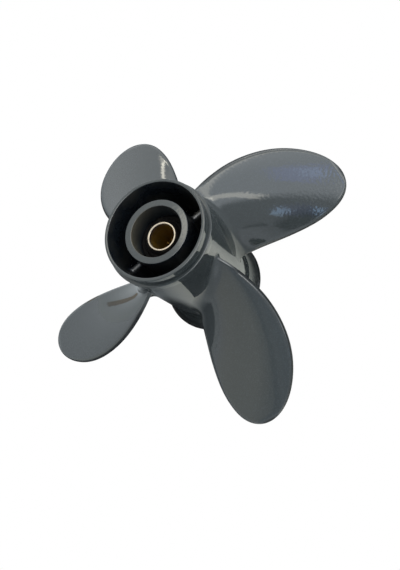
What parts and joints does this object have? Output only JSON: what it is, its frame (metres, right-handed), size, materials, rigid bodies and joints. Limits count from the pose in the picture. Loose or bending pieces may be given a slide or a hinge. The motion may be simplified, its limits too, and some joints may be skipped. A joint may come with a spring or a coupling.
{
  "type": "outboard motor propeller",
  "caption": "Right-hand propeller with broad helical blades on a flared exhaust hub, a rubber bush and a splined brass sleeve; it drives a boat when a motor turns it.",
  "frame": {"origin": "on the shaft axis, in the plane of the flared rear end that the part stands on", "axes": "+Z along the shaft axis towards the motor (the front rim is on top); the blades' root lines lie 30, 120, 210 and 300 degrees from +X, anticlockwise seen from +Z"},
  "size_m": [0.2924, 0.2924, 0.1524],
  "materials": {
    "grey_enamel": "gloss grey enamel with fine metallic flake over cast aluminium",
    "black_rubber": "matt black moulded rubber",
    "brass": "turned brass, satin"
  },
  "bodies": {
    "root": {"casting": "grey_enamel", "rubber_bush": "black_rubber", "brass_sleeve": "brass"}
  },
  "joints": []
}
